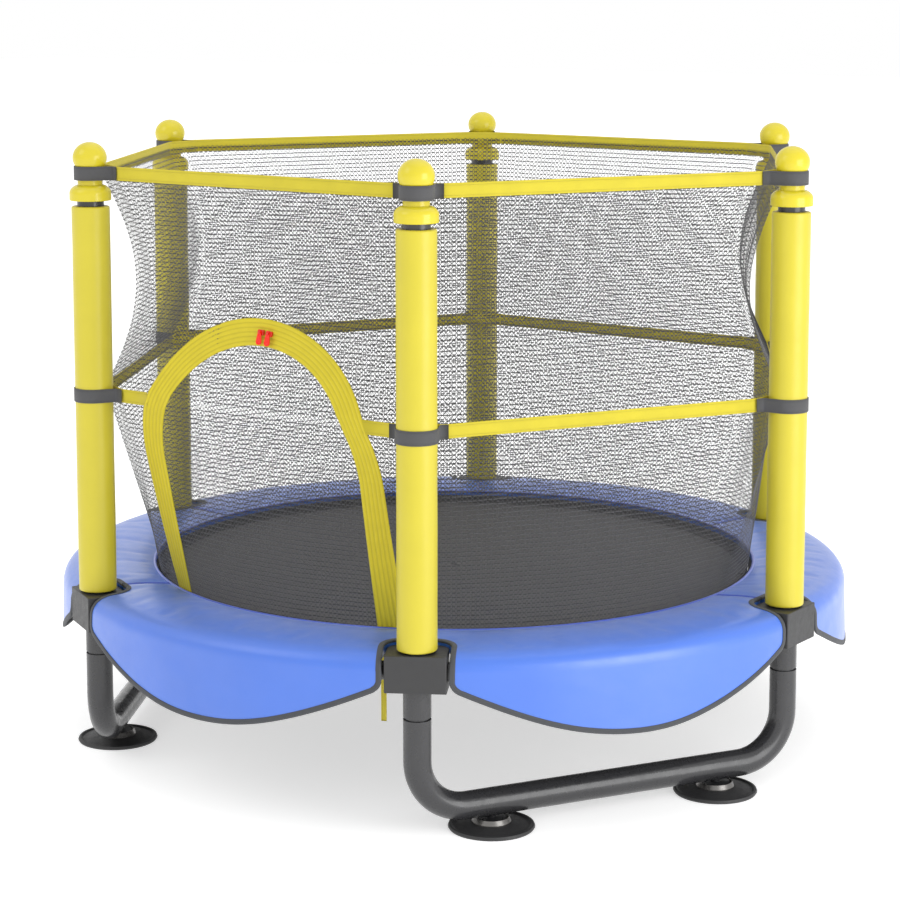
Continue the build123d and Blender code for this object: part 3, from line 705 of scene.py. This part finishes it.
def zipper():
    """The ribbed tape, lying on the net along the arch."""
    x, z = arch_line()
    dx, dz = np.gradient(x), np.gradient(z)
    size = np.hypot(dx, dz)
    ax, az = dz / size, -dx / size
    profile = np.array(flat_profile(TAPE, 0.0, TAPE_FRONT, TAPE_RIDGES, TAPE_RIDGE))
    verts = [door_point(x + ax * across, z + az * across, TAPE_INSET - lift) for across, lift in profile]
    verts = np.stack(verts, 1)
    path = door_point(x, z, 0.001)
    along = np.concatenate([[0], np.cumsum(np.linalg.norm(np.diff(path, axis=0), axis=1))])
    uvs = np.stack(np.broadcast_arrays(along[:, None], profile[None, :, 0] + TAPE / 2), -1)
    return verts.reshape(-1, 3), grid_faces(len(x), len(profile), False, True), uvs.reshape(-1, 2)


v, f, u = zipper()
tape = mesh_object("door_zipper_tape", v, f, "zipper", uvs=u)
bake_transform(tape)
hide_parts("door_zipper")

low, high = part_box("zipper_tail")
zs = np.linspace(high.z + 0.008, low.z, 40)
TAIL_DEG, TAIL_WIDTH = -67.4, 0.010
path = polar(TAIL_DEG, NET_BOTTOM_R + 0.0002 * np.sin(zs * 60), zs)
out = np.tile(polar(TAIL_DEG, 1.0, 0.0), (len(zs), 1))
side_way = np.tile(polar(TAIL_DEG + 90, 1.0, 0.0), (len(zs), 1))
v, f, u = sweep(path, side_way, out, flat_profile(TAIL_WIDTH, -0.0005, 0.0003, 2, 0.0003))
tail = mesh_object("zipper_tail_tape_lightened", v, f, "tail", "mat", uvs=u)
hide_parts("zipper_tail")


# ------------------------------------------------------------------ safety pad

PAD_INNER, SHOULDER_R, SHOULDER_Z = 0.581, 0.757, 0.300
# The cover's section, in (r, z), from the inner edge to the shoulder.
PAD_TOP = np.array([
    (PAD_INNER, 0.324), (0.586, 0.3255), (0.601, 0.3275), (0.650, 0.332), (0.700, 0.3315), (0.728, 0.3285),
    (0.745, 0.321), (0.754, 0.310), (SHOULDER_R, SHOULDER_Z),
])
HEM_R, HEM_HIGH, HEM_DROP, HEM_DEG = 0.761, 0.270, 0.093, 26
SLOT_HALF, SLOT_IN, SLOT_CORNER = 0.058, 0.046, 0.035
SKIRT, PAD_UNDER_Z = 0.0025, 0.3139


def smooth_line(points, count):
    """A smooth line through the points, evenly spaced."""
    pts = [np.asarray(p) for p in (2 * points[0] - points[1], *points, 2 * points[-1] - points[-2])]
    dense = []
    for a, b, c, d in zip(pts, pts[1:], pts[2:], pts[3:]):
        square, cube = 2 * a - 5 * b + 4 * c - d, 3 * b - a - 3 * c + d
        for s in np.linspace(0, 1, 20, endpoint=False):
            dense.append(0.5 * (2 * b + (c - a) * s + square * s ** 2 + cube * s ** 3))
    dense = np.array([*dense, pts[-2]])
    at = np.concatenate([[0], np.cumsum(np.linalg.norm(np.diff(dense, axis=0), axis=1))])
    even = np.linspace(0, at[-1], count)
    return np.stack([np.interp(even, at, dense[:, k]) for k in range(dense.shape[1])], 1)


def hem_height(turn):
    """The scalloped hem's height at an angle from the middle of a side."""
    return HEM_HIGH - HEM_DROP * np.cos(np.radians(90 * np.clip(np.abs(turn), 0, HEM_DEG) / HEM_DEG))


def slot_border(r):
    """Where a row whose middle is at radius r ends beside the pole: (sideways, along the pole's line)."""
    back = POLE_CIRCLE - SLOT_IN
    if r < back - 0.004:
        return 0.0002, r
    if r < back + 0.006:
        part = (r - back + 0.004) / 0.010
        return 0.0002 + (SLOT_HALF - SLOT_CORNER) * part, back
    end = back + SLOT_CORNER
    if r < end + 0.004:
        part = (r - back - 0.006) / (SLOT_CORNER - 0.002)
        turn = math.pi / 2 * part
        side = SLOT_HALF - SLOT_CORNER + SLOT_CORNER * math.sin(turn)
        return side, back + SLOT_CORNER * (1 - math.cos(turn))
    return SLOT_HALF, math.sqrt(r * r - SLOT_HALF ** 2)


TOP_ROWS, SKIRT_ROWS, COLS = 56, 18, 73
IS_TOP = np.arange(TOP_ROWS + SKIRT_ROWS)[:, None] < TOP_ROWS
COVER_LINE = smooth_line(PAD_TOP, TOP_ROWS)
CREST_Z, SKIRT_FALL, NOTCH_EDGE_DEG, NOTCH_FOOT_BEND = 0.3215, 0.123, 25.6, 0.014


def pad_grid():
    """Points of one sector's cover: rows from the inner edge to the hem, columns round the ring."""
    c = np.linspace(-1, 1, COLS)
    c = np.sign(c) * (1 - (1 - np.abs(c)) ** 1.15)
    rows = []
    for r, z in COVER_LINE:
        off, along = slot_border(r)
        r_edge, edge = math.hypot(off, along), 30 - math.degrees(math.atan2(off, along))
        rr = r + (r_edge - r) * np.abs(c) ** 10
        if z > CREST_Z and r < 0.745:
            zz = np.interp(rr, COVER_LINE[:, 0], COVER_LINE[:, 1])
        else:
            rr, zz = np.full(COLS, r), np.full(COLS, z)
        rows.append((edge * c, rr, zz))
    for k in range(1, SKIRT_ROWS + 1):
        part = k / SKIRT_ROWS
        z_edge = SHOULDER_Z + (hem_height(NOTCH_EDGE_DEG) - SHOULDER_Z) * part
        left, bend = z_edge - hem_height(NOTCH_EDGE_DEG), NOTCH_FOOT_BEND
        off = SLOT_HALF + (bend - math.sqrt(max(0, bend ** 2 - (bend - left) ** 2)) if left < bend else 0)
        edge = 30 - math.degrees(math.asin(off / HEM_R))
        turn = edge * c
        zz = SHOULDER_Z + (hem_height(turn) - SHOULDER_Z) * part
        rr = SHOULDER_R + (HEM_R - SHOULDER_R) * (SHOULDER_Z - zz) / SKIRT_FALL
        rows.append((turn, rr, zz))
    turn, r, z = (np.array(a) for a in zip(*rows))
    return turn, r, z


SEAM_DIP, SEAM_REACH = 0.0022, 0.006
TOP_UNEVEN, SKIRT_UNEVEN, SKIRT_WAVE = 0.0012, 0.0009, 0.0008


def cover(side):
    """One sector of the pad: its shaped cover, with the angles and outward directions of its points."""
    turn, r, z = pad_grid()
    seed = Vector((3.1 * side, 1.7, 0.4))
    edge = np.abs(turn) / 30
    dip = np.exp(-(((1 - edge) * r * math.pi / 6) / SEAM_REACH) ** 2)
    z = z - np.where(IS_TOP & (r < 0.69), SEAM_DIP * dip, 0)
    pts = polar(SIDE_DEGS[side] + turn, r, z)
    spots = [Vector(p) for p in pts.reshape(-1, 3)]
    lift = [noise.noise(p * 9 + seed) + 0.5 * noise.noise(p * 23 + seed) for p in spots]
    lift = np.array(lift).reshape(len(turn), -1)
    fade = np.clip((r - PAD_INNER) / 0.02, 0, 1) * np.clip((1 - edge) * 8, 0, 1)
    out = polar(SIDE_DEGS[side] + turn, 1.0, 0.0)
    pts[..., 2] += np.where(IS_TOP & (r < 0.74), TOP_UNEVEN * lift * fade, 0)
    wave = SKIRT_UNEVEN * lift + SKIRT_WAVE * np.sin(np.radians(turn) * 24 + side)
    wave = wave * np.clip((0.3 - z) / 0.03, 0, 1) * fade
    pts += np.where(IS_TOP, 0, 1)[..., None] * out * wave[..., None]
    return turn, pts, out


def under(pts, out):
    """The pad's inner surface, opposite the cover: flat below the top, and offset in the skirt."""
    low = pts.copy()
    flat = IS_TOP & (np.hypot(pts[..., 0], pts[..., 1]) < 0.741)
    low[..., 2] = np.where(flat, PAD_UNDER_Z, pts[..., 2] - np.where(IS_TOP, 0.002, 0))
    low -= np.where(flat, 0, SKIRT)[..., None] * out
    return low


EDGE_LINE = np.concatenate([COVER_LINE, [(0.758, 0.290), (HEM_R, HEM_HIGH - HEM_DROP)]])
EDGE_SLOPE = np.gradient(EDGE_LINE, axis=0)


def cover_normal(point):
    """The way out of the cover at a point on or near it."""
    radius = math.hypot(point[0], point[1])
    near = int(np.argmin(np.hypot(EDGE_LINE[:, 0] - radius, EDGE_LINE[:, 1] - point[2])))
    if point[2] < SHOULDER_Z - 0.001:
        near = len(EDGE_LINE) - 1
    dr, dz = unit(EDGE_SLOPE[near])
    return np.array([-dz * point[0] / radius, -dz * point[1] / radius, dr])


def border_strip(side, pts):
    """Points and directions round a sector's edge, from one notch's back over the hem to the other's."""
    rows, cols = pts.shape[:2]
    back = POLE_CIRCLE - SLOT_IN
    first = next(k for k, (r, _) in enumerate(COVER_LINE) if r >= back + 0.006)
    index = [(i, 0) for i in range(first, rows - 1)]
    index += [(rows - 1, j) for j in range(cols)]
    index += [(i, cols - 1) for i in range(rows - 2, first - 1, -1)]
    path = np.array([pts[i, j] for i, j in index])
    normal = np.array([cover_normal(p) for p in path])
    kept = [0]
    for k in range(1, len(path) - 1):
        if np.linalg.norm(path[k] - path[kept[-1]]) > 0.0025:
            kept.append(k)
    z_back = float(pts[first, 0, 2])
    ends = [polar(SIDE_DEGS[side] + t, back, z_back) for t in (-30, 30)]
    path = np.concatenate([ends[:1], path[kept], path[-1:], ends[1:]])
    normal = np.concatenate([[(0, 0, 1)], normal[kept], normal[-1:], [(0, 0, 1)]])
    along = unit(np.gradient(path, axis=0))
    for _ in range(2):
        along[1:-1] = unit(along[:-2] + along[1:-1] * 2 + along[2:])
        normal[1:-1] = unit(normal[:-2] + normal[1:-1] * 2 + normal[2:])
    inward = unit(np.cross(along, normal))
    middle = len(path) // 2
    if inward[middle][2] < 0:
        inward = -inward
    return path, inward, normal


def radial_seam(turn):
    """The sewn joint between two sectors, from the inner edge to the notch."""
    r = np.linspace(0.5835, POLE_CIRCLE - SLOT_IN - 0.001, 24)
    z = np.interp(r, COVER_LINE[:, 0], COVER_LINE[:, 1]) - 0.0016
    path = polar(turn, r, z)
    across, up = np.tile(polar(turn + 90, 1.0, 0.0), (24, 1)), np.tile([0.0, 0, 1], (24, 1))
    return sweep(path, across, up, tube_profile(0.0021, 8))


BIND, PUFF_CAP = 0.0085, 0.003
FREE_ROWS, FREE_COLS = slice(3, 40), slice(3, -3)
pads, bindings = [], []
for side in range(6):
    turn, pts, out = cover(side)
    low = under(pts, out)
    rows, cols = turn.shape
    outer = grid_faces(rows, cols)
    inner = grid_faces(rows, cols)[:, ::-1] + rows * cols
    ring = [(i, 0) for i in range(rows)] + [(rows - 1, j) for j in range(1, cols)]
    ring += [(i, cols - 1) for i in range(rows - 2, -1, -1)] + [(0, j) for j in range(cols - 2, 0, -1)]
    ids = np.array([i * cols + j for i, j in ring])
    nxt = np.roll(ids, -1)
    wall = np.stack([ids, nxt, nxt + rows * cols, ids + rows * cols], 1)
    faces = np.concatenate([outer[:, ::-1], inner[:, ::-1], wall])
    uv = np.concatenate([pts.reshape(-1, 3)[:, :2], low.reshape(-1, 3)[:, :2]])
    both = np.concatenate([pts.reshape(-1, 3), low.reshape(-1, 3)])
    faces = facing_out(both, faces)
    pad = mesh_object(f"safety_pad_{side + 1}", both, faces, "pad", "frame", uvs=uv)
    pad.data.materials.append(M["backing"])
    marks = np.zeros(len(faces), np.int32)
    marks[len(outer):len(outer) + len(inner)] = 1
    pad.data.polygons.foreach_set("material_index", marks)
    pad.data.set_sharp_from_angle(angle=rad(55))
    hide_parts("safety_pad")
    free = np.zeros(turn.shape, bool)
    free[FREE_ROWS, FREE_COLS] = True
    pads.append((pad, ~np.concatenate([free.ravel(), np.zeros(free.size, bool)])))
    path, inward, normal = border_strip(side, pts)
    section = [
        (BIND, 0.0003), (BIND - 0.0006, 0.0011), (0.0008, 0.0013), (-0.0009, 0.0006), (-0.0012, -SKIRT / 2),
        (-0.0009, -SKIRT - 0.0006), (0.0008, -SKIRT - 0.0011), (BIND - 0.001, -SKIRT - 0.0008),
        (BIND - 0.001, -SKIRT - 0.0002), (0.001, -0.001),
    ]
    v, f, u = sweep(path, inward, normal, section)
    u[:, 1] = np.tile(BIND - np.array(section)[:, 0], len(path))
    bindings.append((v, f, u))
puff(pads, PUFF_CAP)
v, f, u = merge(bindings)
binding = mesh_object("skirt_binding_tape", v, f, "binding", "frame", uvs=u)
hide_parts("skirt_binding")

turns = np.arange(0, 360, 1.0)
upright = np.tile([0.0, 0, 1], (360, 1))
outward = polar(turns, 1.0, 0.0)
edge_piping = sweep(polar(turns, 0.5828, 0.3238), outward, upright, tube_profile(0.0031, 10), True)
v, f, u = merge([edge_piping, *[radial_seam(t) for t in POLE_DEGS]])
mesh_object("pad_piping", v, f, "piping", "frame", uvs=u)
# A dark strip under the pad's inner edge that closes the gap to the net: a dark sheet standing in for the
# shade in that gap.
gap_shade_strip = [(-0.0072, -0.0006), (-0.0072, 0.0006), (0.006, 0.0006), (0.006, -0.0006)]
v, f, u = sweep(polar(turns, 0.5800, 0.3125), outward, upright, gap_shade_strip, True)
mesh_object("pad_edge_gap_shade_strip", v, f, "hem", "frame", uvs=u)


# ------------------------------------------------------------------ mat, tabs and elastic

MAT_R, MAT_Z, MAT_THICK = 0.569, 0.304, 0.002
MAT_SAG, MAT_PUCKER = 0.0035, 0.0005
LOOP_DEGS = [-55 + 10 * n for n in range(36)]


def mat_disc():
    """The woven disc: it dips slightly in the middle, and each ring's pull puckers its rim."""
    r = np.concatenate([np.linspace(0.004, 0.5, 40), np.linspace(0.5, MAT_R - 0.004, 22)[1:]])[:, None]
    t = turns[None]
    part = r / MAT_R
    pull = MAT_PUCKER * np.cos(np.radians((t - LOOP_DEGS[0]) * 36)) * np.clip((part - 0.72) / 0.28, 0, 1) ** 2
    z = MAT_Z - MAT_SAG * (1 - part ** 2) + pull
    z = z + 0.0004 * np.sin(np.radians(t * 3 + 40)) * part * (1 - part) * 4
    top, low = polar(t, r, z + MAT_THICK / 2), polar(t, r, z - MAT_THICK / 2)
    pts = np.concatenate([top, low[::-1]])
    verts = pts.reshape(-1, 3)
    faces = grid_faces(len(pts), 360, False, True)
    count = len(pts) - 1
    lid = np.array([[k, k + 1, 359 - k - 1, 359 - k] for k in range(179)])
    faces = np.concatenate([faces, lid, lid[:, ::-1] + count * 360])
    return verts, facing_out(verts, faces), verts[:, :2]


v, f, u = mat_disc()
disc = mesh_object("mat_cloth", v, f, "mat", "mat", uvs=u)
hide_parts("jumping_mat")
hem_upper = [(-0.0077, 0.0012), (-0.0072, 0.0025), (0.0072, 0.0025), (0.0079, 0.0016)]
hem_section = hem_upper + [(x, -z) for x, z in reversed(hem_upper)]
v, f, u = sweep(polar(turns, MAT_R - 0.0075, MAT_Z), outward, upright, hem_section, True)
u[:, 1] = np.tile(np.array(hem_section)[:, 0] + 0.0077, 360)
hem = mesh_object("mat_hem_tape", v, f, "hem", "mat", uvs=u)
tab_upper = [(-0.013, 0.0031), (-0.002, 0.0031), (0.0015, 0.0027), (0.0044, 0.0016)]
tab_line = tab_upper + [(0.0052, 0)] + [(x, -z) for x, z in reversed(tab_upper)]
TAB_HALF, TAB_THIN = 0.008, 0.0004
tab_section = [(-TAB_HALF, -TAB_THIN), (-TAB_HALF, TAB_THIN), (TAB_HALF, TAB_THIN), (TAB_HALF, -TAB_THIN)]
tabs = []
for t in LOOP_DEGS:
    path = np.array([polar(t, MAT_R + a, MAT_Z + b) for a, b in tab_line])
    sideways = np.tile(polar(t + 90, 1.0, 0.0), (len(path), 1))
    facing = unit(np.cross(sideways, np.gradient(path, axis=0)))
    tabs.append(sweep(path, sideways, -facing, tab_section))
v, f, u = merge(tabs)
tab_piece = mesh_object("mat_ring_tabs", v, f, "hem", "mat", uvs=u)

strip_r, strip_z = [0.5655, 0.569, 0.5712, 0.5716, 0.5716], [0.3068, 0.3069, 0.3085, 0.311, 0.318]
strip = np.stack([polar(turns, r, z) for r, z in zip(strip_r, strip_z)])
back = np.stack([polar(turns, r - 0.0006, z + 0.0004) for r, z in zip(strip_r, strip_z)])
both = np.concatenate([strip, back[::-1]])
across = np.linspace(0, 0.02, len(both))[:, None]
uv = np.stack(np.broadcast_arrays(np.radians(turns)[None] * 0.57, across), -1).reshape(-1, 2)
faces = grid_faces(len(both), 360, True, True)
mesh_object("net_hem_tape", both.reshape(-1, 3), faces, "hem", "mat", uvs=uv)

RING_TUBE_Z, RING_TUBE_R, HOLE_R, HOLE_AT = 0.291, 0.0163, 0.0024, 0.5881
CORD_R, CORD_GAP_R, STRETCH_FROM, STRETCH_TO = 0.0024, 0.0025, 0.700, 0.592


def elastic_path():
    """The centre line of a loop round the frame's tube and through a mat ring, in (r, z)."""
    big, small = RING_TUBE_R + CORD_GAP_R, HOLE_R + CORD_GAP_R
    a, b = np.array([POLE_CIRCLE, RING_TUBE_Z]), np.array([HOLE_AT, MAT_Z])
    gap = b - a
    lean = math.atan2(gap[1], gap[0])
    spread = math.acos((big - small) / np.linalg.norm(gap))
    round_tube = np.linspace(lean + spread, lean + math.tau - spread, 26)
    round_ring = np.linspace(lean - spread, lean + spread, 12)
    line = [a + big * np.array([math.cos(t), math.sin(t)]) for t in round_tube]
    line += [b + small * np.array([math.cos(t), math.sin(t)]) for t in round_ring]
    out = []
    for p, q in zip(line, line[1:] + line[:1]):
        steps = max(1, int(np.linalg.norm(q - p) / 0.012))
        out += [p + (q - p) * s / steps for s in range(steps)]
    return np.array(out)


loop = elastic_path()
for k, t in enumerate(LOOP_DEGS, start=1):
    path = np.array([polar(t, r, z) for r, z in loop])
    along = unit(np.roll(path, -1, 0) - np.roll(path, 1, 0))
    sideways = np.tile(polar(t + 90, 1.0, 0.0), (len(path), 1))
    v, f, u = sweep(path, sideways, np.cross(along, sideways), tube_profile(CORD_R, 8), True)
    elastic = mesh_object(f"elastic_loop_{k}", v, f, "elastic", uvs=u)
    tuple(polar(t, STRETCH_FROM, 0.3))
    tuple(polar(t, STRETCH_TO, 0.3))
    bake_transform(elastic)
    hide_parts("elastic_loops")


# ------------------------------------------------------------------ floor, light and camera

bpy.ops.mesh.primitive_plane_add(size=60, location=(0, 0, 0))
floor = bpy.context.object
floor.name = "floor"
s = Shade("floor_paint_glowing", srgb(222, 222, 222), 0.9)
s.tint(s.noise(0.6, 2), 0.99, 1.0)
# The floor glows faintly: painted light that lifts the shadows under the trampoline and bounces light onto
# its underside.
s.set(**{"Emission Color": (1, 1, 1, 1), "Emission Strength": 0.55})
floor.data.materials.append(s.mat)

scene = bpy.context.scene
world = scene.world or bpy.data.worlds.new("studio")
scene.world = world
world.use_nodes = True
world.node_tree.nodes["Background"].inputs["Color"].default_value = (1, 1, 1, 1)
world.node_tree.nodes["Background"].inputs["Strength"].default_value = 1.0


def area_light(name, place, aim, size, power):
    light = bpy.data.lights.new(name, "AREA")
    light.size, light.energy = size, power
    obj = bpy.data.objects.new(name, light)
    obj.location = place
    obj.rotation_euler = (Vector(aim) - Vector(place)).to_track_quat("-Z", "Y").to_euler()
    scene.collection.objects.link(obj)


area_light("key", (-2.2, -4.2, 4.4), (0, 0, 0.5), 3.0, 36)
area_light("side", (3.6, -0.6, 1.1), (0, 0, 0.4), 2.2, 52)
area_light("top", (0, 0.6, 5.0), (0, 0, 0.4), 4.0, 22)

AZIMUTH, AIM_ASIDE, DISTANCE, HEIGHT, PITCH = 34.9, 0.097, 4.7091, 1.4353, 7.749
camera = bpy.data.cameras.new("camera")
camera.lens, camera.sensor_width, camera.shift_y = 98.19, 36, -0.15
eye = bpy.data.objects.new("camera", camera)
eye.location = (DISTANCE * math.sin(rad(AZIMUTH)), -DISTANCE * math.cos(rad(AZIMUTH)), HEIGHT)
eye.rotation_euler = (rad(90 - PITCH), 0, rad(AZIMUTH + AIM_ASIDE))
scene.collection.objects.link(eye)
scene.camera = eye
scene.view_settings.view_transform = "Standard"
